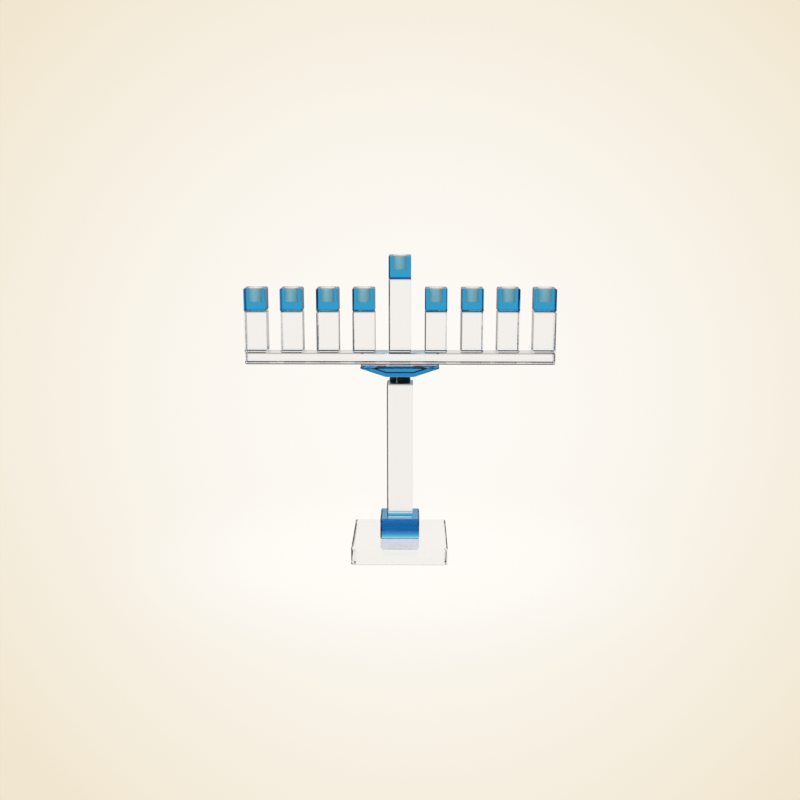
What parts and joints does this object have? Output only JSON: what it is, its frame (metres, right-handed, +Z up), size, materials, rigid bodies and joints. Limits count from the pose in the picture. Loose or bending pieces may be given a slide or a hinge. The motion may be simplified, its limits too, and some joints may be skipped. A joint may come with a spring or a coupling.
{
  "type": "menorah",
  "caption": "Square-cut crystal Hanukkah menorah: blue candle blocks on clear square columns along a crossbar, on a clear stem and base, with a screw fitting under the bar.",
  "frame": {"origin": "middle of the base plate's underside, which is the middle of the bottom of the whole part", "axes": "+Z up along the stem, +X along the crossbar to the right, +Y away from the front"},
  "size_m": [0.308, 0.096, 0.304],
  "materials": {
    "clear_crystal": "polished clear optical crystal with fine bevels",
    "blue_crystal": "polished blue crystal, candle holes ground",
    "polished_fitting": "dark nickel, polished",
    "steel_stud": "rolled thread, bright",
    "washer_nylon": "moulded"
  },
  "bodies": {
    "root": {"base_plate": "clear_crystal", "plinth_block": "blue_crystal", "stem": "clear_crystal", "lower_fitting": "polished_fitting"},
    "washer": {"washer": "washer_nylon"},
    "upper_half": {"upper_fitting": "polished_fitting", "fitting_stud": "steel_stud", "saddle_block": "blue_crystal", "crossbar": "clear_crystal", "candle_column_1": "clear_crystal", "candle_block_1": "blue_crystal", "candle_column_2": "clear_crystal", "candle_block_2": "blue_crystal", "candle_column_3": "clear_crystal", "candle_block_3": "blue_crystal", "candle_column_4": "clear_crystal", "candle_block_4": "blue_crystal", "shamash_column": "clear_crystal", "shamash_block": "blue_crystal", "candle_column_5": "clear_crystal", "candle_block_5": "blue_crystal", "candle_column_6": "clear_crystal", "candle_block_6": "blue_crystal", "candle_column_7": "clear_crystal", "candle_block_7": "blue_crystal", "candle_column_8": "clear_crystal", "candle_block_8": "blue_crystal"}
  },
  "joints": [
    {"name": "thread_rise", "type": "slide", "parent": "root", "child": "washer", "axis": [0, 0, 1], "range_m": [0, 0.00375]},
    {"name": "thread_turn", "type": "hinge", "parent": "washer", "child": "upper_half", "pos_m": [0, 0, 0.1814], "axis": [0, 0, 1], "range_deg": [0, 1080]}
  ],
  "couplings": [
    {"joint": "thread_rise", "follows": "thread_turn", "m_per_rad": 0.00019894}
  ]
}
